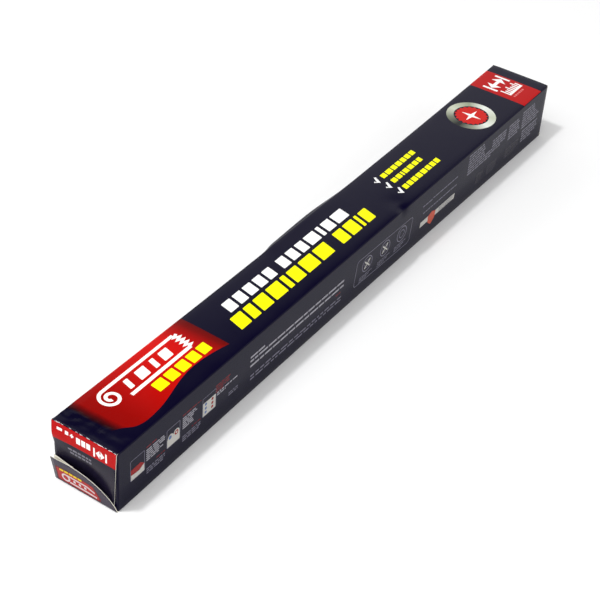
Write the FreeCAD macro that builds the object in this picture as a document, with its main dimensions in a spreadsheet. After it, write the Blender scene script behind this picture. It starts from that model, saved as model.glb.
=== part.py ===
import FreeCAD, Part
import math
import os
import sys
import Sketcher

# A sealed carton of aluminium foil: one die-cut sheet of card, folded round a wound roll and glued.
# The carton lies flat on its bottom panel. X runs along it, with the near end at minus X, where one
# flap stands off. Y runs across it, with the glued lid lap on the plus Y side. Z is up.
# Nothing opens and nothing inside can be seen, so the carton is one solid.

SIZES = [
    ("carton_length", 460.0, "between the outer faces of the two upper outer flaps"),
    ("carton_width", 42.0, "across the folds at the ends"),
    ("carton_height", 41.0, "bottom panel to top panel at the ends"),
    ("board_thickness", 0.45, "card"),
    ("fold_radius", 0.9, "outer radius of every fold"),
    ("flap_inset", 0.3, "outer flap's cut edge inside the side panel's face, at its fold"),
    ("upper_flap_taper", 2.8, "further inset of the upper outer flap at its free end"),
    ("upper_flap_gap", 1.1, "upper outer flap's free end above the base"),
    ("lower_flap_depth", 18.4, "lower outer flap's free edge above the base"),
    ("glue_height", 1.5, "lower outer flap held flat up to here"),
    ("flap_stand_off", 2.8, "how far the near lower flap's free edge stands off"),
    ("flap_cut_angle", 37.0, "slant of the lower flap's cut corner, in degrees"),
    ("flap_cut_radius", 26.0, "rounding where the slant meets the free edge"),
    ("lap_foot", 9.0, "lid lap's free edge above the base"),
    ("bulge_place", -4.0, "middle of the bulge in the lid lap, along the carton"),
    ("bulge_length", 84.0, "length of the bulge"),
    ("bulge_depth", 2.0, "how far the bulge stands out of the side"),
    ("dent_place", 43.0, "middle of the dent in the top fold, along the carton"),
    ("dent_length", 13.0, "length of the dent"),
    ("dent_width", 9.0, "width of the dent, across the fold"),
    ("dent_depth", 0.9, "depth of the dent below the fold's crown"),
    ("nick_count", 9, "cracks along the near upper flap's crease"),
    ("nick_length", 2.4, "length of one crack"),
    ("nick_depth", 0.12, "depth of one crack below the crease's crown"),
    ("nick_spread", 36.0, "from the first crack to the last"),
]

doc = FreeCAD.newDocument("foil_carton_model")
sheet = doc.addObject("Spreadsheet::Sheet", "Sizes")
for row, (alias, size, meaning) in enumerate(SIZES, start=1):
    sheet.set("A%d" % row, alias)
    sheet.set("B%d" % row, str(size))
    sheet.set("C%d" % row, meaning)
    sheet.setAlias("B%d" % row, alias)
doc.recompute()

# Places that several features share, as expressions on the sheet
HALF_LENGTH = "Sizes.carton_length / 2"
DUST_FACE = "(Sizes.carton_length / 2 - Sizes.board_thickness)"
FOLD_START = "(Sizes.carton_length / 2 - Sizes.fold_radius)"
INNER_RADIUS = "(Sizes.fold_radius - Sizes.board_thickness)"
HALF_WIDTH = "Sizes.carton_width / 2"
FLAP_HALF_WIDTH = "(Sizes.carton_width / 2 - Sizes.flap_inset)"
TOP = "Sizes.carton_height"
FLAP_RISE = "(Sizes.lower_flap_depth - Sizes.glue_height)"
CURL_RADIUS = "((%s^2 + Sizes.flap_stand_off^2) / (2 * Sizes.flap_stand_off))" % FLAP_RISE


def value(expression):
    """The number that an expression on the sheet gives."""
    result = sheet.evalExpression(expression)
    return float(getattr(result, "Value", result))


def new_sketch(body, name, role):
    """A sketch on one of the body's own origin planes."""
    plane = next(o for o in body.Origin.OriginFeatures if o.Role == role)
    sketch = body.newObject("Sketcher::SketchObject", name)
    sketch.AttachmentSupport = [(plane, "")]
    sketch.MapMode = "FlatFace"
    return sketch


def locate(sketch, edge, end, across, up):
    """Ties one end of an edge to its place, given as two expressions."""
    for kind, axis, expression in (("DistanceX", -2, across), ("DistanceY", -1, up)):
        if expression == "0":
            sketch.addConstraint(Sketcher.Constraint("PointOnObject", edge, end, axis))
        else:
            rule = Sketcher.Constraint(kind, -1, 1, edge, end, value(expression))
            number = sketch.addConstraint(rule)
            sketch.setExpression("Constraints[%d]" % number, expression)


def arc_edge(start, finish, radius, turn):
    """An arc between two points; turn is 1 for anticlockwise and -1 for clockwise."""
    middle = (start + finish) * 0.5
    chord = finish - start
    reach = math.sqrt(max(radius ** 2 - (chord.Length / 2) ** 2, 0.0))
    aside = FreeCAD.Vector(-chord.y, chord.x, 0).normalize()
    centre = middle + aside * reach * turn
    first, last = (start, finish) if turn > 0 else (finish, start)
    angles = [math.atan2(p.y - centre.y, p.x - centre.x) for p in (first, last)]
    circle = Part.Circle(centre, FreeCAD.Vector(0, 0, 1), radius)
    return Part.ArcOfCircle(circle, angles[0], angles[1])


def outline(sketch, corners):
    """A closed loop. Each corner is (across, up) and the line that leaves it, or
    (across, up, radius, turn) and the arc that leaves it."""
    points = [FreeCAD.Vector(value(c[0]), value(c[1]), 0) for c in corners]
    edges = []
    for i, corner in enumerate(corners):
        start, finish = points[i], points[(i + 1) % len(points)]
        if len(corner) == 2:
            edge = sketch.addGeometry(Part.LineSegment(start, finish), False)
            edges.append((edge, 1, 2))
        else:
            arc = arc_edge(start, finish, value(corner[2]), corner[3])
            edge = sketch.addGeometry(arc, False)
            edges.append((edge, 1, 2) if corner[3] > 0 else (edge, 2, 1))
    for i, corner in enumerate(corners):
        edge, start, finish = edges[i]
        following = edges[(i + 1) % len(edges)]
        sketch.addConstraint(Sketcher.Constraint("Coincident", edge, finish, following[0], following[1]))
        locate(sketch, edge, start, corner[0], corner[1])
        if len(corner) == 4:
            number = sketch.addConstraint(Sketcher.Constraint("Radius", edge, value(corner[2])))
            sketch.setExpression("Constraints[%d]" % number, corner[2])


def raise_profile(body, name, sketch, width):
    """Pads a side profile by equal amounts to both sides of the middle plane."""
    pad = body.newObject("PartDesign::Pad", name)
    pad.Profile = sketch
    pad.SideType = "Symmetric"
    pad.setExpression("Length", width)
    return pad


def carton_block(body):
    """The wrapped tube with its dust flaps in."""
    profile = new_sketch(body, "side_profile", "XZ_Plane")
    step = TOP + " - Sizes.board_thickness"
    shoulder = TOP + " - Sizes.fold_radius"
    outline(profile, [
        ("-" + DUST_FACE, "0"),
        (DUST_FACE, "0"),
        (DUST_FACE, shoulder, INNER_RADIUS, 1),
        (FOLD_START, step),
        (FOLD_START, TOP),
        ("-" + FOLD_START, TOP),
        ("-" + FOLD_START, step, INNER_RADIUS, 1),
        ("-" + DUST_FACE, shoulder),
    ])
    return raise_profile(body, "tube", profile, "Sizes.carton_width")


def round_long_folds(body, base):
    """Rounds the four long folds, bulge included."""
    side = value(HALF_WIDTH) - 0.001
    wanted = []
    for number, edge in enumerate(base.Shape.Edges, start=1):
        box = edge.BoundBox
        on_top = abs(box.ZMin - value(TOP)) < 0.001
        on_base = abs(box.ZMax) < 0.001
        runs_along = box.XLength > value("Sizes.bulge_length / 5")
        if runs_along and box.ZLength < 0.001 and (on_top or on_base) and max(box.YMax, -box.YMin) > side:
            wanted.append("Edge%d" % number)
    fillet = body.newObject("PartDesign::Fillet", "rounded_long_folds")
    fillet.Base = (base, wanted)
    fillet.setExpression("Radius", "Sizes.fold_radius")
    return fillet


def round_dust_folds(body):
    """Rounds the upright folds where the side panels turn into the dust flaps."""
    plan = new_sketch(body, "dust_fold_corners", "XY_Plane")
    along = "(%s - Sizes.fold_radius)" % DUST_FACE
    across = "(%s - Sizes.fold_radius)" % HALF_WIDTH
    past_end = "(%s + Sizes.fold_radius)" % DUST_FACE
    past_side = "(%s + Sizes.fold_radius)" % HALF_WIDTH
    for end in ("", "-"):
        for side in ("", "-"):
            outline(plan, [
                (end + along, side + HALF_WIDTH, "Sizes.fold_radius", -1 if end == side else 1),
                (end + DUST_FACE, side + across),
                (end + past_end, side + across),
                (end + past_end, side + past_side),
                (end + along, side + past_side),
            ])
    cut = body.newObject("PartDesign::Pocket", "rounded_dust_folds")
    cut.Profile = plan
    cut.Type = "ThroughAll"
    cut.SideType = "Symmetric"
    return cut


def lid_lap(body):
    """The panel under the lid lap lies one board deeper, which leaves the lap's cut edge."""
    plan = new_sketch(body, "lap_recess", "XY_Plane")
    under = "(%s - Sizes.board_thickness)" % HALF_WIDTH
    clear = "(%s + Sizes.fold_radius)" % HALF_WIDTH
    outline(plan, [
        ("-" + DUST_FACE, under),
        (DUST_FACE, under),
        (DUST_FACE, clear),
        ("-" + DUST_FACE, clear),
    ])
    cut = body.newObject("PartDesign::Pocket", "lid_lap_edge")
    cut.Profile = plan
    cut.Reversed = True
    cut.setExpression("Length", "Sizes.lap_foot")
    return cut


def upper_flap(body, end, name):
    """The outer flap that folds down from the top panel; end is -1 near and 1 far."""
    sign = "-" if end < 0 else ""
    shoulder = TOP + " - Sizes.fold_radius"
    fold = new_sketch(body, name + "_fold_profile", "XZ_Plane")
    outline(fold, [
        (sign + FOLD_START, TOP, "Sizes.fold_radius", -end),
        (sign + HALF_LENGTH, shoulder),
        (sign + DUST_FACE, shoulder, INNER_RADIUS, end),
        (sign + FOLD_START, TOP + " - Sizes.board_thickness"),
    ])
    raise_profile(body, name + "_fold", fold, "2 * " + FLAP_HALF_WIDTH)
    face = new_sketch(body, name + "_outline", "YZ_Plane")
    face.setExpression("AttachmentOffset.Base.z", sign + DUST_FACE)
    foot = "(%s - Sizes.upper_flap_taper)" % FLAP_HALF_WIDTH
    outline(face, [
        ("-" + FLAP_HALF_WIDTH, shoulder),
        ("-" + foot, "Sizes.upper_flap_gap"),
        (foot, "Sizes.upper_flap_gap"),
        (FLAP_HALF_WIDTH, shoulder),
    ])
    pad = body.newObject("PartDesign::Pad", name)
    pad.Profile = face
    pad.Reversed = end < 0
    pad.setExpression("Length", "Sizes.board_thickness")
    return pad


def lower_flap(body, end, name, stands_off):
    """The outer flap that folds up from the bottom panel, over the upper one."""
    sign = "-" if end < 0 else ""
    outer = sign + "(%s + Sizes.board_thickness)" % HALF_LENGTH
    inner = sign + HALF_LENGTH
    profile = new_sketch(body, name + "_profile", "XZ_Plane")
    root = [
        (inner, "Sizes.fold_radius", INNER_RADIUS, -end),
        (sign + DUST_FACE, "Sizes.board_thickness"),
        (sign + DUST_FACE, "0", "Sizes.fold_radius", end),
        (outer, "Sizes.fold_radius"),
    ]
    if stands_off:
        tip_share = "(Sizes.board_thickness / %s)" % CURL_RADIUS
        tip_out = "%s(%s + Sizes.board_thickness + Sizes.flap_stand_off" % (sign, HALF_LENGTH)
        inner_tip = tip_out + " - %s * (%s - Sizes.flap_stand_off))" % (tip_share, CURL_RADIUS)
        inner_top = "Sizes.lower_flap_depth + %s * %s" % (tip_share, FLAP_RISE)
        free = [
            (outer, "Sizes.glue_height", CURL_RADIUS, -end),
            (tip_out + ")", "Sizes.lower_flap_depth"),
            (inner_tip, inner_top, CURL_RADIUS + " + Sizes.board_thickness", end),
            (inner, "Sizes.glue_height"),
        ]
    else:
        free = [
            (outer, "Sizes.lower_flap_depth"),
            (inner, "Sizes.lower_flap_depth"),
        ]
    outline(profile, root + free)
    raise_profile(body, name + "_sheet", profile, "2 * " + FLAP_HALF_WIDTH)

    # The cut corner: a slant up from the fold, rounded into the free edge
    cut_top = "(Sizes.lower_flap_depth + Sizes.board_thickness)"
    angle = "(Sizes.flap_cut_angle * 1 deg)"
    vertex = "(%s / tan(%s) - %s)" % (cut_top, angle, FLAP_HALF_WIDTH)
    run = "(Sizes.flap_cut_radius * tan(%s / 2))" % angle
    clear = "(%s + Sizes.fold_radius)" % FLAP_HALF_WIDTH
    above = "(%s + Sizes.fold_radius)" % cut_top
    corner = new_sketch(body, name + "_cut_outline", "YZ_Plane")
    corner.setExpression("AttachmentOffset.Base.z", sign + HALF_LENGTH)
    outline(corner, [
        ("-" + FLAP_HALF_WIDTH, "0"),
        ("%s - %s * cos(%s)" % (vertex, run, angle), "%s - %s * sin(%s)" % (cut_top, run, angle),
         "Sizes.flap_cut_radius", -1),
        (vertex + " + " + run, cut_top),
        (vertex + " + " + run, above),
        ("-" + clear, above),
        ("-" + clear, "0"),
    ])
    cut = body.newObject("PartDesign::Pocket", name)
    cut.Profile = corner
    cut.Reversed = end > 0
    cut.setExpression("Length", "Sizes.flap_stand_off + 2 * Sizes.fold_radius")
    return cut


def lap_bulge(body):
    """The lid lap bows out between two glue spots and takes the top fold with it."""
    plan = new_sketch(body, "bulge_outline", "XY_Plane")
    half = "Sizes.bulge_length / 2"
    quarter = "Sizes.bulge_length / 4"
    rise = "(Sizes.bulge_depth / 2)"
    bow = "((%s)^2 / (2 * %s) + %s / 2)" % (quarter, rise, rise)
    inside = HALF_WIDTH + " - 2 * Sizes.fold_radius"
    crest = HALF_WIDTH + " + " + rise
    outline(plan, [
        ("Sizes.bulge_place + " + half, HALF_WIDTH, bow, -1),
        ("Sizes.bulge_place + " + quarter, crest, bow, 1),
        ("Sizes.bulge_place - " + quarter, crest, bow, -1),
        ("Sizes.bulge_place - " + half, HALF_WIDTH),
        ("Sizes.bulge_place - " + half, inside),
        ("Sizes.bulge_place + " + half, inside),
    ])
    plan.setExpression("AttachmentOffset.Base.z", "Sizes.lap_foot")
    pad = body.newObject("PartDesign::Pad", "lap_bulge")
    pad.Profile = plan
    pad.setExpression("Length", TOP + " - Sizes.lap_foot")
    return pad


def fold_dent(body):
    """A knock in the top fold on the minus Y side: a shallow scallop across the fold."""
    scallop = body.newObject("PartDesign::SubtractiveCylinder", "fold_dent")
    radius = "(Sizes.dent_length^2 / (8 * Sizes.dent_depth) + Sizes.dent_depth / 2)"
    crown = "Sizes.fold_radius * (sqrt(2) - 1)"
    out = "((%s - Sizes.dent_depth - %s) / sqrt(2))" % (radius, crown)
    back = "(Sizes.dent_width / 2 / sqrt(2))"
    scallop.setExpression("Radius", radius)
    scallop.setExpression("Height", "Sizes.dent_width")
    scallop.Placement = FreeCAD.Placement(FreeCAD.Vector(), FreeCAD.Rotation(FreeCAD.Vector(1, 0, 0), -45))
    scallop.setExpression("Placement.Base.x", "Sizes.dent_place")
    scallop.setExpression("Placement.Base.y", "-%s - %s - %s" % (HALF_WIDTH, out, back))
    scallop.setExpression("Placement.Base.z", "%s + %s - %s" % (TOP, out, back))
    return scallop


def cracked_crease(body):
    """Short cracks along the crease that the near upper flap hangs from."""
    nick = body.newObject("PartDesign::SubtractiveBox", "crease_nick")
    side = "(2 * Sizes.fold_radius)"
    crown = "(Sizes.fold_radius * (1 - 1 / sqrt(2)))"
    reach = "(Sizes.nick_depth / sqrt(2))"
    nick.setExpression("Length", side)
    nick.setExpression("Width", "Sizes.nick_length")
    nick.setExpression("Height", side)
    nick.Placement = FreeCAD.Placement(FreeCAD.Vector(), FreeCAD.Rotation(FreeCAD.Vector(0, 1, 0), -45))
    corner_x = "-%s + %s + %s" % (HALF_LENGTH, crown, reach)
    corner_z = "%s - %s - %s" % (TOP, crown, reach)
    slide = "(Sizes.fold_radius / sqrt(2))"
    nick.setExpression("Placement.Base.x", "%s - %s" % (corner_x, slide))
    nick.setExpression("Placement.Base.y", "-Sizes.nick_spread / 2 - Sizes.nick_length / 2")
    nick.setExpression("Placement.Base.z", "%s - %s" % (corner_z, slide))
    row = body.newObject("PartDesign::LinearPattern", "cracked_crease")
    row.Originals = [nick]
    axis = next(o for o in body.Origin.OriginFeatures if o.Role == "Y_Axis")
    row.Direction = (axis, [""])
    row.setExpression("Length", "Sizes.nick_spread")
    row.setExpression("Occurrences", "Sizes.nick_count")
    body.Tip = row
    return row


def foil_carton():
    """The whole carton as one body."""
    body = doc.addObject("PartDesign::Body", "foil_carton")
    body.Label = "foil_carton"
    carton_block(body)
    bulged = lap_bulge(body)
    doc.recompute()
    round_long_folds(body, bulged)
    doc.recompute()
    round_dust_folds(body)
    lid_lap(body)
    upper_flap(body, -1, "near_upper_flap")
    upper_flap(body, 1, "far_upper_flap")
    lower_flap(body, -1, "near_lower_flap", stands_off=True)
    lower_flap(body, 1, "far_lower_flap", stands_off=False)
    fold_dent(body)
    cracked_crease(body)
    doc.recompute()
    return body


def check(parts):
    """Stops if any object failed or any sub-part has no valid solid."""
    for item in doc.Objects:
        if "Invalid" in item.State or "Error" in item.State:
            sys.exit("%s failed: %s" % (item.Name, item.State))
    for part in parts:
        if part.Shape.isNull() or not part.Shape.isValid():
            sys.exit("%s has no valid shape" % part.Label)
        if len(part.Shape.Solids) != 1:
            sys.exit("%s has %d solids" % (part.Label, len(part.Shape.Solids)))


carton = foil_carton()
check([carton])
os.makedirs("parts", exist_ok=True)
carton.Shape.exportStep("parts/%s.step" % carton.Label)
bounds = carton.Shape.BoundBox
print("foil_carton volume %.0f mm3" % carton.Shape.Volume)
print("x %.2f to %.2f, y %.2f to %.2f, z %.2f to %.2f" % (
    bounds.XMin, bounds.XMax, bounds.YMin, bounds.YMax, bounds.ZMin, bounds.ZMax))
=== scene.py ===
import math
import random

import bmesh
import bpy
from mathutils import Matrix, Vector, noise
from mathutils.geometry import interpolate_bezier


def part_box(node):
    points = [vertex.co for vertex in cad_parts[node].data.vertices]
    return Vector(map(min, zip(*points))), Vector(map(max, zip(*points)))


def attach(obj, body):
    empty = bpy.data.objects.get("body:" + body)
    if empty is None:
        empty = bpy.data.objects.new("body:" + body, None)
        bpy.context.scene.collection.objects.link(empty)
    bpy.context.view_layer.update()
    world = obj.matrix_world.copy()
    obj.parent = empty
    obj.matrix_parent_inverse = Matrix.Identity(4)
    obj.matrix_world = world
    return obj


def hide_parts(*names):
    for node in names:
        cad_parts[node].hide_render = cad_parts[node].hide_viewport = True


# A sealed carton of aluminium foil, in millimetres until a piece is finished.
# Its print is laid out on the flat sheet, x along the carton and y across the top panel,
# and is then folded round the carton with the card.

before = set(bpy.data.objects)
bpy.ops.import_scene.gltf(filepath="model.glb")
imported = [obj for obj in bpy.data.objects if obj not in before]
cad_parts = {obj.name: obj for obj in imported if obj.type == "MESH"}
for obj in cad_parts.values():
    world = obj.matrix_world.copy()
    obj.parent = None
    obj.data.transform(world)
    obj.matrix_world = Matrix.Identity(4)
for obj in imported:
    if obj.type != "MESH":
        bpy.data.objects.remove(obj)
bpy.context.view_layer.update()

MM = 0.001
CARTON = "foil_carton"
BODY = "root"
low, high = (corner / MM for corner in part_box(CARTON))

# The card
INK = 0.02                      # how far each layer of print stands off what lies under it
LAYERS = 3
SUNK = 0.05                     # how far print reaches into the card
CLOSEST = 0.04                  # cuts are no closer than this
BOARD = 0.45
FOLD = 0.9
FOLD_ARC = FOLD * math.pi / 2
TOP = high.z - LAYERS * INK
SIDE = -low.y - LAYERS * INK
END = high.x - BOARD
DUST_END = END - BOARD
CREASE_X = END - FOLD
CREASE_Y = SIDE - FOLD

# The end flaps
FLAP_HALF = SIDE - 0.3
FLAP_TAPER = 2.5
UPPER_FLAP_FOOT = 1.1
STAND_OFF = -low.x - END - BOARD - LAYERS * INK

# The give of the card
LAP_FOOT = 9
LAP_EDGE = 0.06                 # the height over which the lap's foot steps back
CROWN = 0.5                     # how far the top panel's long edges lie below its middle
SHOULDER = 0.2                  # and how far it drops beside its folds
BACK_WAIST = 0.24               # how far the side with the lap is drawn in halfway along, at its top
BACK_FLARE = 1.62               # how far it leans out from there to its ends
BACK_SKEW = 0.27                # and how much further at the far end than at the near one
FOOT_WAIST = 1.06               # how far the side in view is drawn in halfway along, at its foot
FOOT_FLARE = 1.25
BULGE_START = -53
BULGE_RISE = 16                 # the bulge rises most of the way over this length
BULGE_PEAK = -2
BULGE_STOP = 52
BULGE_DEPTH = 2.2
DENT_X = 41
DENT_DEPTH = 0.9
WRINKLE = 0.22
WRINKLE_X = 212                 # the lid is wrinkled from here to its near end
DISH = 1.45                     # how far the near end has given way inwards
PLY = 0.3                       # the torn inner ply of the near lower flap

# The free edge of the lower flaps, as y and the height above the table
FLAP_EDGE = [(20.6, 17.6), (15.5, 17.3), (9.7, 17.1), (3.6, 16.5), (-1.5, 15.5), (-6.5, 13.8), (-11.5, 11.2),
             (-16.2, 7.6), (-19.2, 4.0), (-20.6, 1.2)]

# The red field on the top panel
RED_START = -224
RED_LENGTH = 100

rng = random.Random(4)


def bell(distance, width):
    """A smooth hump, 1 in its middle and near 0 past twice its width."""
    return math.exp(-(distance / width) ** 2)


def ramp(value, start, stop):
    """Rises smoothly from 0 at start to 1 at stop."""
    share = min(max((value - start) / (stop - start), 0), 1)
    return share * share * (3 - 2 * share)


def bend(past, off):
    """Round a fold: how far out and down a point lies that is so far past its crease."""
    if past <= 0:
        return past, -off
    turn = min(past / FOLD, math.pi / 2)
    out = (FOLD + off) * math.sin(turn)
    down = FOLD - (FOLD + off) * math.cos(turn)
    return out, down + max(past - FOLD_ARC, 0)


def fold_sides(co):
    """Folds the flat sheet down over the two long sides."""
    out, down = bend(abs(co.y) - CREASE_Y, co.z)
    return Vector((co.x, math.copysign(CREASE_Y + out, co.y), TOP - down))


def fold_end(co):
    """Folds the flat sheet down over an end."""
    out, down = bend(abs(co.x) - CREASE_X, co.z)
    return Vector((math.copysign(CREASE_X + out, co.x), co.y, TOP - down))


def side_y(height):
    """Where a height on the long side in view lies on the flat sheet."""
    return -(CREASE_Y + FOLD_ARC + TOP - FOLD - height)


def end_x(height):
    """Where a height on the near end lies on the flat sheet."""
    return -(CREASE_X + FOLD_ARC + TOP - FOLD - height)


def lift_near(co):
    """The near lower flap: co.x is the way up the flap, and its free edge has sprung out."""
    stand_off = STAND_OFF * (0.72 + 0.28 * ramp(co.y, 8, FLAP_HALF))
    return fold_up(co, -1, stand_off)


def lift_far(co):
    """The far lower flap, closed flat."""
    return fold_up(co, 1, 0)


def fold_up(co, end, stand_off):
    """Folds a lower flap up against an end, leaning out so far at its free edge."""
    up, off = co.x, co.z
    turn = min(max(up, 0) / FOLD, math.pi / 2)
    out = DUST_END + (FOLD + off) * math.sin(turn) + min(up, 0)
    rise = FOLD - (FOLD + off) * math.cos(turn) + max(up - FOLD_ARC, 0)
    out += stand_off * max((rise - FOLD) / (FLAP_EDGE[0][1] - FOLD), 0) ** 1.1
    return Vector((end * out, co.y, rise))


def settle(co):
    """The give of the whole carton, the same for the card and for what is printed on it."""
    x, y, z = co
    along = min(abs(x) / END, 1)
    middle = 1 - along ** 2
    across = min(abs(y) / SIDE, 1)
    back = max(y, 0) / SIDE
    front = max(-y, 0) / SIDE
    upper = z / TOP

    # Both long sides lean
    y += back * upper * (BACK_FLARE * along ** 2 - BACK_WAIST + BACK_SKEW * x / END)
    y += front * max(FOOT_WAIST - FOOT_FLARE * along ** 2, 0) * (1 - upper) ** 2

    # The bulge takes the top fold with it
    swell = ramp(x, BULGE_START, BULGE_START + BULGE_RISE)
    swell *= 0.65 + 0.35 * ramp(x, BULGE_START, BULGE_PEAK)
    swell *= 1 - ramp(x, BULGE_PEAK, BULGE_STOP)
    y += back * BULGE_DEPTH * swell * ramp(z, LAP_FOOT, TOP - 10) * (1 - ramp(z, TOP - 1.6, TOP - 0.1))
    sag = 1 - swell * ramp(y, 0, SIDE)
    z -= upper * sag * (CROWN * middle * across ** 2 + SHOULDER * ramp(across, 0.7, 1) ** 2)

    # The dent in the top fold, and the hollow that it leaves in the lid
    knock = math.hypot(co[1] + SIDE, co[2] - TOP)
    dent = DENT_DEPTH * bell(x - DENT_X, 4) * bell(knock, 3)
    y += dent * 0.6
    z -= dent * 0.8
    lid = ramp(co[2], TOP - 2, TOP - 0.8)
    z -= lid * 0.3 * bell(x - DENT_X - 3, 7) * bell(co[1] + 13, 6)

    # Slow waves in the lid, and pressed wrinkles by its near end
    z -= lid * middle * 0.1 * (noise.noise(Vector((x / 46, y / 30, 0))) + 1)
    pinch = ramp(-x, WRINKLE_X, WRINKLE_X + 7) * (1 - ramp(-x, WRINKLE_X + 15, END))
    z -= lid * pinch * WRINKLE * (noise.noise(Vector((x / 3.4, y / 4.4, 5))) + 0.6)
    return Vector((x, y, z))


def dish(co):
    """How far the near end has given way inwards, behind the free edge of its lower flap."""
    return DISH * (1 - (co.y / SIDE) ** 2) * ramp(co.z, 2, 9) * (1 - ramp(co.z, 13, 29))


def sink(co):
    """The tube, the flat of its near end dished in."""
    on_the_end = -co.x > DUST_END - 0.02
    return settle(co) + Vector((dish(co) if on_the_end else 0, 0, 0))


def puff(co):
    """The near upper flap follows the dished end, and is puffed out by one top corner."""
    lift = 1.1 * bell(co.y - SIDE, 10) * bell(co.z - 33, 5.5)
    return settle(co) + Vector((dish(co) - lift, 0, 0))


def cut(bm, axis, places):
    """Cuts a mesh across one axis at each place, so that it can bend there."""
    line = Vector([float(i == axis) for i in range(3)])
    reach = [v.co[axis] for v in bm.verts]
    last = min(reach)
    for place in sorted(places):
        if last + CLOSEST < place < max(reach) - CLOSEST:
            everything = bm.verts[:] + bm.edges[:] + bm.faces[:]
            bmesh.ops.bisect_plane(bm, geom=everything, dist=1e-5, plane_co=line * place, plane_no=line)
            last = place


def steps(start, stop, count):
    """Evenly spaced places, the start and the stop among them."""
    return [start + (stop - start) * i / count for i in range(count + 1)]


LONG_STEPS = steps(-END, END, 92) + steps(DENT_X - 9, DENT_X + 9, 18)
LONG_STEPS += steps(-END, -WRINKLE_X, 16) + steps(BULGE_START, BULGE_START + BULGE_RISE, 8)
FOLD_STEPS = [CREASE_Y + FOLD_ARC * i / 5 for i in range(6)]
SIDE_HEIGHTS = steps(FOLD, TOP - FOLD, 13) + [TOP - 1.2, TOP - 1.5, TOP - 1.9]
TOP_STEPS = steps(-CREASE_Y, CREASE_Y, 26)
ACROSS_STEPS = TOP_STEPS + FOLD_STEPS + [-place for place in FOLD_STEPS]
ACROSS_STEPS += [side_y(height) for height in SIDE_HEIGHTS]
FLAP_ACROSS = steps(-FLAP_HALF, FLAP_HALF, 24)
END_STEPS = [-CREASE_X - FOLD_ARC * i / 5 for i in range(6)] + steps(end_x(0), end_x(TOP - FOLD), 26)
FLAP_UP = [FOLD_ARC * i / 5 for i in range(6)] + steps(FOLD_ARC, FLAP_EDGE[0][1], 16)


def grow(bm, bottom, top):
    """Gives flat faces a thickness, from bottom to top."""
    grown = bmesh.ops.extrude_face_region(bm, geom=bm.faces[:])
    lifted = [part for part in grown["geom"] if isinstance(part, bmesh.types.BMVert)]
    rest = list(set(bm.verts) - set(lifted))
    bmesh.ops.translate(bm, vec=(0, 0, top), verts=lifted)
    bmesh.ops.translate(bm, vec=(0, 0, bottom), verts=rest)
    bmesh.ops.recalc_face_normals(bm, faces=bm.faces)


def finish_piece(name, bm, shape, finishes):
    """Shapes a mesh, makes it the size it is in metres and hands it over as a piece."""
    for vert in bm.verts:
        vert.co = shape(vert.co)
    bmesh.ops.scale(bm, vec=(MM, MM, MM), verts=bm.verts)
    bmesh.ops.triangulate(bm, faces=[f for f in bm.faces if len(f.verts) > 4])
    bmesh.ops.recalc_face_normals(bm, faces=bm.faces)
    mesh = bpy.data.meshes.new(name)
    bm.to_mesh(mesh)
    bm.free()
    piece = bpy.data.objects.new(name, mesh)
    bpy.context.scene.collection.objects.link(piece)
    for finish in finishes:
        mesh.materials.append(finish)
    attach(piece, BODY)
    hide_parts(CARTON)
    return piece


def mark(name, bm, ink, layer=1):
    """A print mark on the top or a long side: a film of ink that follows the card."""
    cut(bm, 0, LONG_STEPS)
    cut(bm, 1, ACROSS_STEPS)
    grow(bm, -SUNK, layer * INK)
    return finish_piece(name, bm, lambda co: settle(fold_sides(co)), [ink])


def end_mark(name, bm, ink, layer=1):
    """A print mark on the near upper flap."""
    cut(bm, 0, END_STEPS)
    cut(bm, 1, FLAP_ACROSS)
    grow(bm, -SUNK, layer * INK)
    return finish_piece(name, bm, lambda co: puff(fold_end(co)), [ink])


def flap_mark(name, bm, ink, layer=1):
    """A print mark on the near lower flap."""
    cut(bm, 0, FLAP_UP)
    cut(bm, 1, FLAP_ACROSS)
    grow(bm, -SUNK, layer * INK)
    return finish_piece(name, bm, lambda co: settle(lift_near(co)), [ink])


# Flat shapes

def plate(bm, points, corner=0, segments=3):
    """A flat face with these corners, rounded if a corner radius is given."""
    verts = [bm.verts.new((x, y, 0)) for x, y in points]
    face = bm.faces.new(verts)
    if signed(points) < 0:
        face.normal_flip()
    face.normal_update()
    if corner:
        bmesh.ops.bevel(bm, geom=verts, offset=corner, offset_type="OFFSET", affect="VERTICES",
                        segments=segments, profile=0.5, material=-1)
    return face


def signed(points):
    """Positive for corners that run anticlockwise."""
    return sum(a[0] * b[1] - b[0] * a[1] for a, b in zip(points, points[1:] + points[:1]))


def slab(bm, x0, y0, x1, y1, slant=0, corner=0):
    """A block with upright or leaning ends."""
    lean = slant * (y1 - y0)
    return plate(bm, [(x0, y0), (x1, y0), (x1 + lean, y1), (x0 + lean, y1)], corner)


def line_frame(bm, corners, stroke, corner):
    """A rectangle drawn as a line, its corners rounded."""
    before = set(bm.faces)
    plate(bm, corners, corner, 5)
    drawn = [f for f in bm.faces if f not in before]
    bmesh.ops.inset_region(bm, faces=drawn, thickness=stroke, use_even_offset=True, use_boundary=True)
    bmesh.ops.delete(bm, geom=drawn, context="FACES")


def disc(bm, x, y, radius, segments=32):
    """A flat disc."""
    place = Matrix.Translation((x, y, 0))
    bmesh.ops.create_circle(bm, cap_ends=True, radius=radius, segments=segments, matrix=place)


def ring(bm, x, y, outer, inner, segments=48):
    """A flat ring, spun from one short line."""
    start = [bm.verts.new((x + inner, y, 0)), bm.verts.new((x + outer, y, 0))]
    line = bm.edges.new(start)
    bmesh.ops.spin(bm, geom=start + [line], cent=(x, y, 0), axis=(0, 0, 1), angle=math.tau,
                   steps=segments, use_merge=True)


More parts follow.
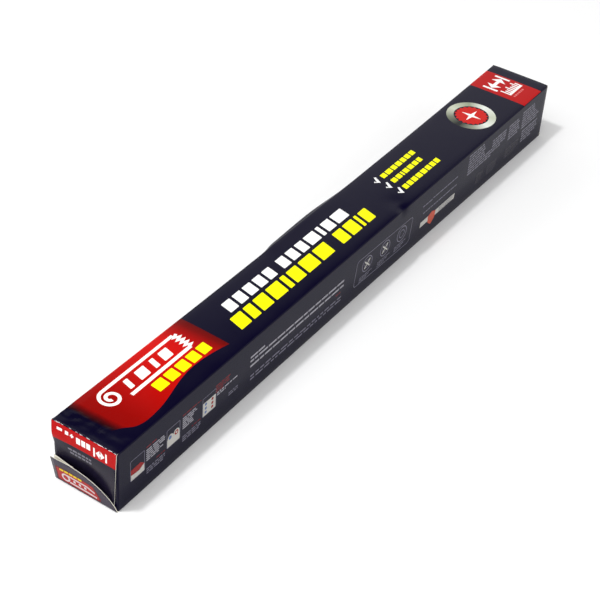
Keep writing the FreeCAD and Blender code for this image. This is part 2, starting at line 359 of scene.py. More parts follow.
def star(bm, x, y, outer, inner, points, turn=0.0):
    """A star; with inner near outer, a rosette or a rounded triangle."""
    spots = []
    for i in range(points * 2):
        reach = outer if i % 2 == 0 else inner
        angle = turn + math.pi * i / points
        spots.append((x + reach * math.cos(angle), y + reach * math.sin(angle)))
    return plate(bm, spots)


def stroke(bm, points, width):
    """A line of even width through some points."""
    left, right = [], []
    for i, spot in enumerate(points):
        ahead = Vector(points[min(i + 1, len(points) - 1)]) - Vector(points[max(i - 1, 0)])
        aside = Vector((-ahead.y, ahead.x)).normalized() * width / 2
        if 0 < i < len(points) - 1:
            first = (Vector(spot) - Vector(points[i - 1])).normalized()
            second = (Vector(points[i + 1]) - Vector(spot)).normalized()
            aside /= max(math.sqrt((1 + first.dot(second)) / 2), 0.4)
        left.append(tuple(Vector(spot) + aside))
        right.append(tuple(Vector(spot) - aside))
    bmesh.ops.triangulate(bm, faces=[plate(bm, right + left[::-1])])


def fine_lines(bm, x0, x1, y_top, pitch, height, ends, words=(1.2, 4.6), gap=0.7):
    """Lines of fine bars in place of small print; ends gives how far each line reaches."""
    for i, share in enumerate(ends):
        y = y_top - pitch * i
        x, stop = x0, x0 + (x1 - x0) * share
        while x < stop - words[0] / 2:
            width = min(rng.uniform(*words), stop - x)
            slab(bm, x, y - height, x + width, y)
            x += width + gap


# The card itself

def tube():
    """The wrapped tube with its dust flaps folded in."""
    bm = bmesh.new()
    bmesh.ops.create_cube(bm, size=1)
    bmesh.ops.scale(bm, vec=(2 * DUST_END, 2 * SIDE, TOP), verts=bm.verts)
    bmesh.ops.translate(bm, vec=(0, 0, TOP / 2), verts=bm.verts)
    bmesh.ops.bevel(bm, geom=bm.edges[:], offset=FOLD, affect="EDGES", segments=5, profile=0.5, material=-1)
    cut(bm, 0, LONG_STEPS)
    cut(bm, 1, TOP_STEPS)
    cut(bm, 2, SIDE_HEIGHTS + [LAP_FOOT, LAP_FOOT + LAP_EDGE])
    for face in bm.faces:
        face.smooth = True
    for vert in bm.verts:
        if vert.co.z < LAP_FOOT + LAP_EDGE / 2 and vert.co.y > CREASE_Y - 0.01:
            vert.co.y -= BOARD
    for face in bm.faces:
        middle = face.calc_center_median()
        if middle.y > CREASE_Y - BOARD and LAP_FOOT < middle.z < LAP_FOOT + LAP_EDGE:
            face.material_index = 1
            face.smooth = False
        elif face.normal.z > 0.7:
            face.material_index = 2
    return finish_piece("carton_tube", bm, sink, [navy_print, cut_card, top_print])


def card_sheet(bm):
    """Turns a flat outline into a sheet of card: printed outside, bare inside, pale where it is cut."""
    grow(bm, -BOARD, 0)
    for face in bm.faces:
        face.smooth = abs(face.normal.z) > 0.5
        if face.normal.z < 0.5:
            face.material_index = 1


def upper_flap(name, end, shape):
    """The outer flap that hangs from the top panel."""
    bm = bmesh.new()
    near = DUST_END - FOLD
    fold_line = CREASE_X + FOLD_ARC
    foot = fold_line + TOP - FOLD - UPPER_FLAP_FOOT
    inset = FLAP_HALF - FLAP_TAPER
    points = [(near, -FLAP_HALF), (fold_line, -FLAP_HALF), (foot, -inset), (foot, inset),
              (fold_line, FLAP_HALF), (near, FLAP_HALF)]
    plate(bm, [(end * x, y) for x, y in points])
    cut(bm, 0, [-end * x for x in END_STEPS])
    cut(bm, 1, FLAP_ACROSS)
    card_sheet(bm)
    return finish_piece(name, bm, lambda co: shape(fold_end(co)), [ends_lit_print, cut_card])


def lower_flap(name, lift, finish):
    """The outer flap that folds up from the bottom panel, its free edge cut on a long curve."""
    bm = bmesh.new()
    extra = FOLD_ARC - FOLD
    plate(bm, [(-FOLD, -FLAP_HALF), (-FOLD, FLAP_HALF)] + [(z + extra, y) for y, z in FLAP_EDGE])
    cut(bm, 0, FLAP_UP)
    cut(bm, 1, FLAP_ACROSS)
    card_sheet(bm)
    return finish_piece(name, bm, lambda co: settle(lift(co)), [finish, cut_card])


def torn_ply():
    """The inner ply of the lower flap, let go at its free corner."""
    bm = bmesh.new()
    plate(bm, [(5, 4), (5, FLAP_HALF - 0.2), (18.0, FLAP_HALF - 0.2), (17.8, 12), (17.4, 7), (14, 4)])
    cut(bm, 0, steps(5, 18, 8))
    cut(bm, 1, steps(4, FLAP_HALF, 8))
    grow(bm, -PLY, 0)
    for face in bm.faces:
        face.smooth = abs(face.normal.z) > 0.5

    def shape(co):
        lifted = lift_near(co - Vector((0, 0, BOARD)))
        gap = -lifted.x - END
        let_go = 0.78 * ramp(co.y, 7, FLAP_HALF)
        return settle(lifted + Vector((gap * let_go, 0, 0)))

    return finish_piece("near_flap_ply", bm, shape, [cut_card])


def crease_cracks():
    """White cracks where the print has broken along the near upper flap's crease."""
    bm = bmesh.new()
    spans = [(18.8, 15.2), (14.9, 13.4), (9.9, 8.4), (5.9, 4.5), (3.4, 1.3), (-0.9, -3.4), (-5.9, -7.3),
             (-7.6, -12.3), (-13.0, -14.1), (-15.2, -17.7), (-18.8, -20.4)]
    for start, stop in spans:
        count = max(int(abs(start - stop) / 0.5), 3)
        width = 0.16 + 0.04 * abs(start - stop)
        upper, under = [], []
        for i in range(count + 1):
            y = start + (stop - start) * i / count
            body = math.sin(math.pi * (i + 0.3) / (count + 0.6)) ** 0.5
            middle = -CREASE_X - FOLD_ARC * 0.35 + rng.uniform(-0.12, 0.12)
            upper.append((middle + width * body * rng.uniform(0.3, 0.7), y))
            under.append((middle - width * body * rng.uniform(0.3, 0.7), y))
        plate(bm, upper + under[::-1])
    return end_mark("crease_cracks", bm, cracked_white, 2)


# Print on the top panel

def curve_through(knots, resolution=10):
    """Points along cubic spans; each knot is a point and its handles before and after."""
    points = []
    for (first, _, leave), (second, arrive, _) in zip(knots, knots[1:]):
        span = interpolate_bezier(Vector(first), Vector(leave), Vector(arrive), Vector(second), resolution)
        points += [tuple(p) for p in span[(1 if points else 0):]]
    return points


def red_field():
    """A red field that rises over the far fold, its near edge a long wave."""
    bm = bmesh.new()
    wave = curve_through([
        ((RED_START, -6.0), None, (-215, -8.0)),
        ((-209.9, -13.7), (-212.3, -11.4), (-206.5, -16.6)),
        ((-194.5, -16.5), (-201, -17.0), (-180, -16.0)),
        ((-153.5, -9.5), (-169.5, -9.5), (-144, -9.5)),
        ((-127.1, -13.6), (-135.5, -11.3), None),
    ])
    over_fold = CREASE_Y + FOLD_ARC + 3
    plate(bm, wave + [(-126.1, over_fold), (RED_START, over_fold)])
    mark("red_field", bm, red_fade)


def foil_pictogram():
    """A roll wound up and seen from its end, with a shining sheet drawn off it to a toothed edge."""
    bm = bmesh.new()
    turns = []
    for i in range(61):
        turn, reach = math.radians(90 + 8.6 * i), 6.5 - 5.0 * i / 60
        turns.append((-199.6 + reach * math.cos(turn), 8.0 + reach * math.sin(turn)))
    stroke(bm, [(-141.0, 14.5)] + turns, 2.0)
    teeth = []
    for i in range(5):
        teeth += [(-138.6 - i * 0.3, 14.0 - i * 2.8), (-142.0 - i * 0.3, 12.6 - i * 2.8)]
    stroke(bm, teeth, 1.6)
    stroke(bm, [(-191.0, 1.5), (-141.6, 1.5)], 2.2)
    for x, width in ((-188.0, 3.4), (-179.0, 7.5), (-167.0, 3.4), (-159.5, 7.0)):
        slab(bm, x, 4.4, x + width, 11.4, 0.25, 0.5)
    mark("foil_pictogram", bm, white_ink, 2)


def leaning_row(name, ink, y0, y1, slant, corner, spans, layer=1):
    """A row of leaning blocks; each span is where a block starts and stops on the row's upper line."""
    bm = bmesh.new()
    lean = slant * (y1 - y0)
    for start, stop in spans:
        slab(bm, start - lean, y0, stop - lean, y1, slant, corner)
    mark(name, bm, ink, layer)


def title_rows():
    """Rows of plain blocks, as long and as high as rows of large print."""
    leaning_row("white_row", white_ink, 1.5, 10.2, 0.22, 0.5, [
        (-103.3, -95.8), (-93.5, -86.4), (-84.1, -76.9), (-74.7, -67.7), (-65.4, -58.5), (-52.0, -44.7),
        (-42.3, -35.1), (-32.7, -25.9), (-23.5, -13.6), (-11.2, -8.1), (-5.7, 2.3), (4.6, 16.0)])
    leaning_row("yellow_row", yellow_ink, -11.8, -1.2, 0.27, 0.6, [
        (-110.4, -100.9), (-98.6, -91.9), (-89.5, -79.6), (-77.2, -65.9), (-63.5, -59.4), (-57.0, -47.6),
        (-45.1, -32.9), (-30.4, -18.4), (-9.5, -0.9), (1.4, 11.0), (13.3, 15.8), (18.1, 26.0)])
    leaning_row("yellow_field_row", yellow_ink, -8.6, -1.4, 0.1, 0.5, [
        (-179.3, -171.2), (-169.3, -161.9), (-160.0, -152.6), (-150.7, -143.7), (-141.8, -134.8)], 2)


def tick_list():
    """Three ticks, each with a row of small blocks."""
    ticks = bmesh.new()
    for x, y in ((55.4, 8.5), (55.5, -0.2), (55.7, -8.8)):
        stroke(ticks, [(x - 2.4, y + 0.3), (x - 0.7, y - 2.1), (x + 2.3, y + 2.9)], 1.3)
    mark("list_ticks", ticks, white_ink)
    leaning_row("list_row_1", yellow_ink, 6.1, 10.1, 0.2, 0.3, [
        (61.3, 65.8), (66.8, 72.4), (73.4, 77.7), (78.7, 83.4), (84.4, 88.6), (89.6, 93.9), (94.9, 99.2)])
    leaning_row("list_row_2", yellow_ink, -1.7, 2.2, 0.2, 0.3, [
        (61.3, 65.8), (66.8, 71.2), (72.2, 74.0), (75.0, 79.5), (80.5, 85.2), (86.2, 90.4), (91.4, 95.3)])
    leaning_row("list_row_3", yellow_ink, -10.9, -6.8, 0.2, 0.3, [
        (60.4, 64.5), (65.5, 69.7), (70.7, 75.0), (76.0, 80.7), (81.7, 86.4), (87.4, 91.6), (92.6, 96.8),
        (97.8, 101.9)])


def seal():
    """A round seal: a silver ring, a red rosette and a white spark."""
    x, y = 160.6, 0.6
    bm = bmesh.new()
    ring(bm, x, y, 16.4, 11.6, 64)
    mark("seal_ring", bm, silver_print(x, y))
    bm = bmesh.new()
    star(bm, x, y, 11.2, 9.8, 20)
    mark("seal_rosette", bm, red_ink)
    bm = bmesh.new()
    star(bm, x, y, 7.4, 1.7, 4)
    mark("seal_spark", bm, white_ink, 2)


def width_sign(bm, x, y, length, height, upright=False):
    """A double arrow between two end bars, the plain sign for a width."""
    half, bar = length / 2, height * 0.17
    tip = half - bar - 0.5
    neck = tip - height * 0.42
    wing, shaft = height / 2 - 0.3, height * 0.11
    arrow = [(-tip, 0), (-neck, -wing), (-neck, -shaft), (neck, -shaft), (neck, -wing), (tip, 0),
             (neck, wing), (neck, shaft), (-neck, shaft), (-neck, wing)]
    ends = [[(-half, -height / 2), (bar - half, -height / 2), (bar - half, height / 2), (-half, height / 2)],
            [(half - bar, -height / 2), (half, -height / 2), (half, height / 2), (half - bar, height / 2)]]
    for outline in [arrow] + ends:
        plate(bm, [(x + v, y + u) if upright else (x + u, y + v) for u, v in outline])


def far_band():
    """The red band at the far end: a width sign and a ruler."""
    bm = bmesh.new()
    edge = CREASE_Y + FOLD_ARC * 0.5
    slab(bm, 195.2, -edge, 219.4, CREASE_Y + FOLD_ARC + 3)
    mark("far_band", bm, band_red)
    bm = bmesh.new()
    width_sign(bm, 208.2, 7.6, 19.0, 10.6)
    for i in range(8):
        tall = 6.4 if i % 3 == 0 else 4.0
        slab(bm, 200.7 + i * 2.2, -5.6, 201.9 + i * 2.2, -5.6 + tall)
    slab(bm, 200.7, -7.4, 217.3, -5.6)
    mark("far_band_marks", bm, white_ink, 2)
    bm = bmesh.new()
    fine_lines(bm, 200.7, 213.8, -9.2, 1.6, 1.4, [1], (1.2, 2.0))
    mark("far_band_small", bm, pink_ink, 2)


# Print on the long side

def picture_frames():
    """Three framed pictures of plain shapes: a foil fold, two discs and two rows of dots."""
    lines, silver, red, blue = (bmesh.new() for _ in range(4))
    spots = [(-219.8, 14.0, -208.2, 28.3), (-190.3, 14.6, -179.0, 27.8), (-159.8, 14.4, -147.8, 28.0)]
    for x0, z0, x1, z1 in spots:
        line_frame(lines, [(x0, side_y(z0)), (x1, side_y(z0)), (x1, side_y(z1)), (x0, side_y(z1))], 0.4, 0.9)
    x0, z0, x1, z1 = spots[0]
    plate(silver, [(x0 + 0.5, side_y(z0 + 0.4)), (x1 - 0.5, side_y(z0 + 0.4)), (x1 - 0.5, side_y(19.4)),
                   (x0 + 7.2, side_y(17.4)), (x0 + 0.5, side_y(18.0))])
    plate(red, [(x0 + 0.5, side_y(18.2)), (x0 + 7.2, side_y(17.6)), (x1 - 0.4, side_y(19.6)),
                (x0 + 8.2, side_y(22.1)), (x0 + 0.5, side_y(21.8))])
    x0, z0, x1, z1 = spots[1]
    slab(silver, x0 + 0.5, side_y(z0 + 0.4), x1 - 0.5, side_y(20.4))
    disc(silver, x0 + 3.3, side_y(20.9), 2.4)
    disc(silver, x1 - 3.1, side_y(21.2), 2.5)
    disc(blue, x0 + 2.9, side_y(21.2), 1.3, 20)
    ring(red, x1 - 3.1, side_y(21.3), 1.6, 0.8, 20)
    x0, z0, x1, z1 = spots[2]
    slab(silver, x0 + 0.5, side_y(z0 + 0.4), x1 - 0.5, side_y(24.2))
    for i in range(3):
        disc(blue, x0 + 2.9, side_y(16.9 + i * 2.9), 1.0, 16)
        disc(red, x1 - 3.3, side_y(16.9 + i * 2.9), 1.0, 16)
    mark("picture_lines", lines, grey_ink)
    mark("picture_foil", silver, pale_ink)
    mark("picture_red", red, dull_red_ink, 2)
    mark("picture_blue", blue, blue_ink, 2)


def small_print():
    """Fine bars in place of the small print on the near half of the side."""
    white, grey, red = (bmesh.new() for _ in range(3))
    for x0, x1, reach, lines in ((-206.9, -191.7, 0.55, [0.95, 1, 1, 0.7, 0.9, 0.66]),
                                 (-176.9, -161.2, 1, [0.7, 0.78, 0.72, 0.6, 0.64, 0.6])):
        fine_lines(red, x0, x1, side_y(29.1), 1.5, 0.8, [reach])
        fine_lines(white, x0, x1, side_y(26.9), 1.42, 0.8, lines, (2.5, 6.0))
        fine_lines(red, x0 + 8, x1, side_y(15.8), 1.3, 0.7, [1])
        fine_lines(grey, x0, x1, side_y(13.7), 1.5, 0.85, [1, 1, 0.9])
    fine_lines(red, -148.3, -135.5, side_y(29.7), 1.5, 0.9, [1, 1, 0.95, 0.6])
    fine_lines(white, -147.1, -127.8, side_y(24.0), 1.5, 0.9, [1, 0.4])
    fine_lines(grey, -136.3, -127.9, side_y(16.1), 1.5, 0.8, [1, 1])
    fine_lines(white, -116.8, -103.4, side_y(28.7), 2, 1.3, [1], (6, 8), 0.6)
    fine_lines(white, -116.7, -23.4, side_y(25.8), 3.7, 1.35, [1, 1], (3.0, 8.5), 0.9)
    fine_lines(grey, -116.0, -25.0, side_y(14.2), 2.4, 1.2, [1, 1], (2.0, 7.0), 1.4)
    fine_lines(red, -31.3, -25.0, side_y(18.2), 1.5, 1.0, [1], (1.5, 3), 0.6)
    fine_lines(grey, 65.6, 76.9, side_y(29.2), 5.8, 0.9, [1], (2, 5), 0.8)
    fine_lines(grey, 78.0, 108.9, side_y(29.6), 1.5, 0.9, [1], (2, 5), 0.8)
    fine_lines(grey, 66.8, 108.5, side_y(23.4), 1.5, 0.9, [1], (2, 5), 0.8)
    mark("side_white_print", white, text_ink)
    mark("side_grey_print", grey, grey_ink)
    mark("side_red_print", red, heading_red)


def care_signs():
    """A framed row of three round signs."""
    lines, crosses = bmesh.new(), bmesh.new()
    corners = [(-11.4, 10.7), (52.6, 8.9), (54.2, 28.4), (-9.7, 30.2)]
    line_frame(lines, [(x, side_y(z)) for x, z in corners], 0.5, 2.4)
    for i, x in enumerate((2.2, 22.4, 41.7)):
        middle = side_y(22.2 - 0.2 * i)
        ring(lines, x, middle, 5.7, 5.0, 36)
        ring(lines, x, middle, 3.1, 2.5, 24)
        fine_lines(lines, x - 7.6, x + 6.4, side_y(14.9), 1.4, 0.7, [1, 0.8, 0.6], (1.2, 3), 0.5)
        if i < 2:
            for down in (-1, 1):
                stroke(crosses, [(x - 2.9, middle - 2.8 * down), (x + 2.9, middle + 2.8 * down)], 0.9)
    mark("care_lines", lines, grey_ink)
    mark("care_crosses", crosses, pale_ink, 2)


def paper_strip():
    """A pale strip with a coral sign on it."""
    pale, sign, print_lines = bmesh.new(), bmesh.new(), bmesh.new()
    slab(pale, 64.9, side_y(12.5), 107.4, side_y(16.6), 0.1)
    star(sign, 79.0, side_y(13.5), 5.6, 4.7, 3, math.pi / 6)
    fine_lines(print_lines, 88, 106, side_y(15.8), 1.2, 0.5, [1, 1, 0.9], (0.8, 2.2), 0.4)
    mark("paper_strip", pale, pale_ink)
    mark("strip_sign", sign, coral_ink, 2)
    mark("strip_print", print_lines, grey_ink, 2)


def far_print():
    """Fine bars in place of the small print on the far half of the side."""
    grey, faint = bmesh.new(), bmesh.new()
    for x0, x1, z, lines in (
            (122.0, 160.6, 37.9, [0.5, 0.53, 0.56, 0.53, 0.56, 0.95, 1, 0.8]),
            (153.7, 173.9, 33.9, [1, 0.96, 0.95, 0.9, 0.6]),
            (176.4, 193.6, 34.0, [0.8, 0.85, 0.9, 0.92, 1, 0.8]),
            (195.6, 220.5, 35.4, [0.66, 0.7, 0.75, 0.8, 0.9, 1, 0.9]),
            (198.0, 220.2, 19.4, [1, 0.95, 1, 0.9, 0.7])):
        fine_lines(grey, x0, x1, side_y(z), 2.05, 1.15, lines, (2.2, 6.0), 0.7)
    for x0, x1, z, lines in (
            (136.8, 146.0, 15.3, [0.9, 1, 0.9, 0.8]),
            (150.8, 165.1, 15.0, [1, 0.9, 1, 0.8]),
            (175.9, 194.8, 15.5, [1, 0.9, 1, 0.7])):
        fine_lines(faint, x0, x1, side_y(z), 2.05, 1.1, lines, (2.2, 6.0), 0.8)
    mark("far_grey_print", grey, far_ink)
    mark("far_faint_print", faint, faint_ink)


# Print on the near end

def near_band():
    """The red band on the near upper flap, its marks, and two lines of small print below it."""
    bm = bmesh.new()
    start = -CREASE_X - FOLD_ARC * 0.5
    stop = end_x(30.2)
    taper = FLAP_HALF - FLAP_TAPER * 10 / (TOP - 2)
    half = FLAP_HALF - 0.03
    taper -= 0.03
    plate(bm, [(stop, -taper), (start, -half), (start, half), (stop, taper)])
    end_mark("near_band", bm, band_red)
    bm = bmesh.new()
    width_sign(bm, end_x(34.3), -10.1, 8.8, 6.0, upright=True)
    for i in range(3):
        slab(bm, end_x(33.5 + i * 0.1), 2.7 - i * 3.2, end_x(37.6), 5.2 - i * 3.2)
    stroke(bm, [(end_x(38.0), 7.9), (end_x(35.6), 7.9)], 0.9)
    stroke(bm, [(end_x(36.8), 9.0), (end_x(36.8), 6.8)], 0.9)
    slab(bm, end_x(36.0), 10.0, end_x(38.3), 12.0)
    slab(bm, end_x(36.7), 13.8, end_x(38.3), 17.0)
    end_mark("near_band_marks", bm, white_ink, 2)
    bm = bmesh.new()
    for height in (26.8, 24.4):
        y = -3.9
        while y < 8.5:
            width = rng.uniform(1.0, 2.6)
            slab(bm, end_x(height) - 0.6, y, end_x(height) + 0.6, y + width)
            y += width + 0.6
    end_mark("near_small_print", bm, faint_white_ink)


def flap_label():
    """The red label on the near lower flap, with a small roll and sheet drawn on it."""
    bm = bmesh.new()
    plate(bm, [(1.7, -10.1), (4.2, -10.4), (11.2, -6.0), (11.7, 1.1), (12.3, 18.9), (1.7, 18.6)], 0.6)
    flap_mark("flap_label_edge", bm, label_edge_red)
    bm = bmesh.new()
    plate(bm, [(2.5, -9.2), (4.1, -9.4), (10.5, -5.4), (11.0, 1.1), (11.5, 18.0), (2.5, 17.8)], 0.6)
    flap_mark("flap_label", bm, label_red, 2)
    yellow, white = bmesh.new(), bmesh.new()
    y = 16.1
    for width in (2.6, 2.3, 2.4, 2.2, 2.5):
        slab(yellow, 10.0, y - width, 11.4, y)
        y -= width + 0.6
    flap_mark("flap_label_row", yellow, label_yellow, 3)
    ring(white, 6.0, 12.6, 2.8, 1.7, 28)
    stroke(white, [(8.2, 12.6), (8.2, -1.5), (6.4, -6.6)], 1.1)
    stroke(white, [(3.9, 10.2), (3.9, -1.6), (3.5, -7.8)], 1.1)
    for i in range(3):
        slab(white, 5.3, 6.2 - i * 3.6, 7.0, 7.6 - i * 3.6)
    flap_mark("flap_label_sign", white, label_white, 3)


# Finishes

class Channel:
    """A shader socket that works in Python sums: each sum adds its Math node."""

    def __init__(self, tree, socket):
        self.tree = tree
        self.socket = socket

    def pair(self, operation, first, second):
        return self.tree.node("ShaderNodeMath", {"operation": operation}, {0: first, 1: second})

    def __add__(self, other):
        return self.pair("ADD", self, other)

    def __sub__(self, other):
        return self.pair("SUBTRACT", self, other)

    def __mul__(self, other):
        return self.pair("MULTIPLY", self, other)


class NodeTree:
    """A node tree under way. node() adds one node and returns one of its outputs."""

    def __init__(self, owner):
        owner.use_nodes = True
        self.nodes = owner.node_tree.nodes
        self.links = owner.node_tree.links

    def node(self, kind, settings=None, sockets=None, output=0):
        made = self.nodes.new(kind)
        for setting, value in (settings or {}).items():
            if setting == "stops":
                self.set_stops(made.color_ramp, value)
            else:
                setattr(made, setting, value)
        for key, value in (sockets or {}).items():
            self.plug(made.inputs[key], value)
        return Channel(self, made.outputs[output])

    def plug(self, socket, value):
        if isinstance(value, Channel):
            self.links.new(value.socket, socket)
        else:
            socket.default_value = value

    def set_stops(self, color_ramp, stops):
        elements = color_ramp.elements
        while len(elements) < len(stops):
            elements.new(0.5)
        for element, (place, colour) in zip(elements, stops):
            element.position = place
            element.color = colour

    def noise(self, place, scale, detail=2.0):
        return self.node("ShaderNodeTexNoise", None, {"Vector": place, "Scale": scale, "Detail": detail})

    def spread(self, value, start, stop, low=0.0, high=1.0):
        """Rises smoothly from low to high as value goes from start to stop."""
        sockets = {"Value": value, "From Min": start, "From Max": stop, "To Min": low, "To Max": high}
        return self.node("ShaderNodeMapRange", {"interpolation_type": "SMOOTHSTEP"}, sockets)

    def mix(self, factor, first, second):
        return self.node("ShaderNodeMix", {"data_type": "RGBA"}, {0: factor, 6: first, 7: second}, output=2)

    def axis(self, place, name):
        return self.node("ShaderNodeSeparateXYZ", None, {"Vector": place}, output="XYZ".index(name))


def rgb(red, green, blue):
    """A colour as a screen shows it, from 0 to 255, as Blender's linear colour."""
    shares = [c / 255 for c in (red, green, blue)]
    return tuple(c / 12.92 if c <= 0.04 else ((c + 0.055) / 1.055) ** 2.4 for c in shares) + (1,)


def varnished(name, colour, ior=1.15, mottle=0.06):
    """Printed card under a thin varnish; colour is one colour, or a function of the tree and the place."""
    material = bpy.data.materials.new(name)
    tree = NodeTree(material)
    surface = tree.nodes["Principled BSDF"]
    place = tree.node("ShaderNodeTexCoord", None, None, output="Object")
    cloud = tree.noise(place, 45.0, 3.0)
    fibre = tree.noise(place, 1400.0, 2.0)
    base = colour(tree, place) if callable(colour) else colour
    dark = tree.node("ShaderNodeHueSaturation", None, {"Value": 1 - mottle, "Color": base})
    tree.plug(surface.inputs["Base Color"], tree.mix(cloud * 0.6 + fibre * 0.4, dark, base))
    tree.plug(surface.inputs["Roughness"], tree.spread(cloud, 0.25, 0.75, 0.17, 0.25))
    surface.inputs["IOR"].default_value = ior
    height = tree.node("ShaderNodeBump", None, {"Strength": 0.1, "Distance": 0.00004, "Height": fibre})
    tree.plug(surface.inputs["Normal"], height)
    return material


def fade_to_red(tree, place):
    """Navy at the near end, through dark red to bright red, and darker again at the far edge."""
    along = tree.axis(place, "X") * (1 / MM)
    across = tree.axis(place, "Y") * (1 / MM)
    stretched = tree.node("ShaderNodeMapping", None, {"Vector": place, "Scale": (1.0, 0.35, 1.0)})
    streak = tree.noise(stretched, 220.0, 2.0)
    share = (along + across * 0.03 + (streak - 0.5) * 1.6 - RED_START) * (1 / RED_LENGTH)
    stops = [(0.052, NAVY), (0.068, rgb(40, 8, 15)), (0.09, rgb(84, 9, 12)), (0.12, rgb(143, 9, 6)),
             (0.194, rgb(148, 8, 5)), (0.273, rgb(160, 8, 5)), (0.392, rgb(178, 10, 6)),
             (0.55, rgb(196, 13, 8)), (0.71, rgb(206, 15, 10)), (0.79, rgb(200, 13, 10)),
             (0.87, rgb(170, 10, 7)), (0.946, rgb(114, 7, 6)), (0.975, rgb(98, 7, 7))]
    return tree.node("ShaderNodeValToRGB", {"stops": stops}, {"Fac": share})


def ends_lit_navy(tree, place):
    """The navy of the flaps, a little cloudy, and lighter than the navy of the top and sides: painted light,
    for the extra light that falls on the ends.
    """
    return tree.mix(tree.noise(place, 60.0, 2.0), rgb(27, 22, 42), rgb(20, 16, 33))


def silver_print(x, y):
    """Printed silver: light and dark sectors round a centre."""
    def shade(tree, place):
        aside = tree.axis(place, "X") - x * MM
        across = tree.axis(place, "Y") - y * MM
        turn = across.pair("ARCTAN2", across, aside) * (1 / math.tau) + 0.5
        stops = [(0.0, rgb(62, 66, 58)), (0.1, rgb(150, 155, 138)), (0.2, rgb(232, 236, 228)),
                 (0.33, rgb(196, 202, 180)), (0.48, rgb(236, 240, 232)), (0.6, rgb(150, 158, 134)),
                 (0.75, rgb(206, 210, 190)), (0.87, rgb(120, 126, 108)), (0.97, rgb(44, 46, 46))]
        return tree.node("ShaderNodeValToRGB", {"stops": stops}, {"Fac": turn})
    return varnished("silver_print", shade)


def bare_card(name, colour):
    """Cut or torn card: matt, pale and a little fibrous."""
    material = bpy.data.materials.new(name)
    tree = NodeTree(material)
    surface = tree.nodes["Principled BSDF"]
    place = tree.node("ShaderNodeTexCoord", None, None, output="Object")
    fibre = tree.noise(place, 900.0, 4.0)
    darker = tuple(c * 0.72 for c in colour[:3]) + (1,)
    tree.plug(surface.inputs["Base Color"], tree.mix(fibre, darker, colour))
    surface.inputs["Roughness"].default_value = 0.9
    surface.inputs["IOR"].default_value = 1.3
    height = tree.node("ShaderNodeBump", None, {"Strength": 0.4, "Distance": 0.00008, "Height": fibre})
    tree.plug(surface.inputs["Normal"], height)
    return material


NAVY = rgb(10, 7, 33)
navy_print = varnished("navy_print", NAVY)
top_print = varnished("top_print", rgb(10, 7, 34), ior=1.18)
# The ends' navy is painted lighter than the top's and sides', standing in for the extra light that falls on
# the ends.
ends_lit_print = varnished("ends_lit_print", ends_lit_navy, ior=1.22)
# A lighter copy of the flaps' navy for the near lower flap: painted light, standing in for the brighter
# reflection of the table on the flap where it leans out.
flap_lit_navy = varnished("flap_lit_navy", rgb(46, 38, 56), ior=1.27)
cut_card = bare_card("cut_card", rgb(236, 232, 218))
cracked_white = bare_card("cracked_white", rgb(240, 240, 242))
red_fade = varnished("red_fade", fade_to_red)
red_ink = varnished("red_ink", rgb(204, 30, 24))
band_red = varnished("band_red", rgb(184, 12, 13))
label_red = varnished("label_red", rgb(172, 48, 48))
label_edge_red = varnished("label_edge_red", rgb(108, 34, 38))
dull_red_ink = varnished("dull_red_ink", rgb(140, 28, 28))
heading_red = varnished("heading_red", rgb(108, 32, 36))
coral_ink = varnished("coral_ink", rgb(190, 80, 60))
pink_ink = varnished("pink_ink", rgb(226, 120, 120))
white_ink = varnished("white_ink", rgb(250, 250, 248), mottle=0.02)
text_ink = varnished("text_ink", rgb(152, 150, 158))
faint_white_ink = varnished("faint_white_ink", rgb(122, 120, 130))
label_white = varnished("label_white", rgb(214, 200, 200))
label_yellow = varnished("label_yellow", rgb(226, 204, 40))
yellow_ink = varnished("yellow_ink", rgb(252, 250, 8), mottle=0.02)
pale_ink = varnished("pale_ink", rgb(188, 186, 180), mottle=0.12)
grey_ink = varnished("grey_ink", rgb(104, 102, 116))
far_ink = varnished("far_ink", rgb(112, 110, 122))
faint_ink = varnished("faint_ink", rgb(56, 54, 62))
blue_ink = varnished("blue_ink", rgb(92, 110, 150))


# The studio

CAMERA_PLACE = (-0.65283, -0.38505, 0.58698)
CAMERA_AZIMUTH = -147.971
CAMERA_ELEVATION = 38.568
CAMERA_ROLL = 4.242
CAMERA_LENS = 93.954


def camera():
    """The photograph's point of view."""
    azimuth, elevation, roll = (math.radians(a) for a in (CAMERA_AZIMUTH, CAMERA_ELEVATION, CAMERA_ROLL))
    back = Vector((math.cos(elevation) * math.cos(azimuth), math.cos(elevation) * math.sin(azimuth),
                   math.sin(elevation)))
    right = Vector((0, 0, 1)).cross(back).normalized()
    up = back.cross(right)
    turned_right = right * math.cos(roll) + up * math.sin(roll)
    turned_up = up * math.cos(roll) - right * math.sin(roll)
    data = bpy.data.cameras.new("camera")
    data.lens = CAMERA_LENS
    data.sensor_width = 36
    made = bpy.data.objects.new("camera", data)
    bpy.context.scene.collection.objects.link(made)
    axes = Matrix((turned_right, turned_up, back)).transposed()
    made.matrix_world = Matrix.Translation(CAMERA_PLACE) @ axes.to_4x4()
    bpy.context.scene.camera = made


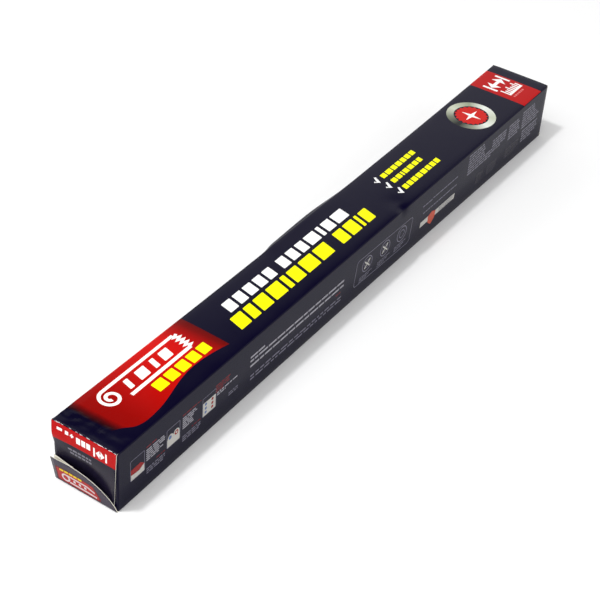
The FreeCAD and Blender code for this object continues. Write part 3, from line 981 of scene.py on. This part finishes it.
def floor():
    """A white table that stays white to the camera and in reflections, and keeps the carton's shadow."""
    bm = bmesh.new()
    bmesh.ops.create_grid(bm, x_segments=1, y_segments=1, size=4)
    mesh = bpy.data.meshes.new("floor")
    bm.to_mesh(mesh)
    bm.free()
    made = bpy.data.objects.new("floor", mesh)
    bpy.context.scene.collection.objects.link(made)
    material = bpy.data.materials.new("white_table")
    tree = NodeTree(material)
    surface = tree.nodes["Principled BSDF"]
    surface.inputs["Base Color"].default_value = (0.91, 0.91, 0.91, 1)
    surface.inputs["Roughness"].default_value = 1
    surface.inputs["IOR"].default_value = 1
    rays = [tree.node("ShaderNodeLightPath", None, None, output=name)
            for name in ("Is Camera Ray", "Is Glossy Ray", "Is Transmission Ray")]
    tree.plug(surface.inputs["Emission Color"], rays[0] + rays[1] + rays[2])
    surface.inputs["Emission Strength"].default_value = 0.1
    mesh.materials.append(material)


def lamp(name, place, size, power):
    """A round lamp, aimed at the carton."""
    data = bpy.data.lights.new(name, "AREA")
    data.shape = "DISK"
    data.size = size
    data.energy = power
    made = bpy.data.objects.new(name, data)
    bpy.context.scene.collection.objects.link(made)
    aim = Vector(place).to_track_quat("Z", "Y").to_matrix().to_4x4()
    made.matrix_world = Matrix.Translation(place) @ aim


def studio_sky():
    """White low down, as the paper behind the table, and darker overhead between the lamps."""
    world = bpy.data.worlds.new("studio")
    bpy.context.scene.world = world
    tree = NodeTree(world)
    way = tree.node("ShaderNodeTexCoord", None, None, output="Generated")
    height = tree.axis(way, "Z")
    white, overhead = (1, 1, 1, 1), (0.03, 0.03, 0.03, 1)
    stops = [(0.0, white), (0.618, white), (0.642, overhead), (1.0, overhead)]
    shade = tree.node("ShaderNodeValToRGB", {"stops": stops}, {"Fac": height})
    tree.plug(tree.nodes["Background"].inputs["Color"], shade)
    tree.nodes["Background"].inputs["Strength"].default_value = 1.2


bpy.context.scene.view_settings.view_transform = "Standard"
camera()
floor()
lamp("key", (-0.52, 0.285, 1.5), 0.14, 10.0)
lamp("softbox", (-0.7, 0.2, 1.7), 1.5, 13.0)
studio_sky()

tube()
upper_flap("near_upper_flap", -1, puff)
upper_flap("far_upper_flap", 1, settle)
lower_flap("near_lower_flap", lift_near, flap_lit_navy)
lower_flap("far_lower_flap", lift_far, ends_lit_print)
torn_ply()
crease_cracks()
red_field()
foil_pictogram()
title_rows()
tick_list()
seal()
far_band()
picture_frames()
small_print()
care_signs()
paper_strip()
far_print()
near_band()
flap_label()
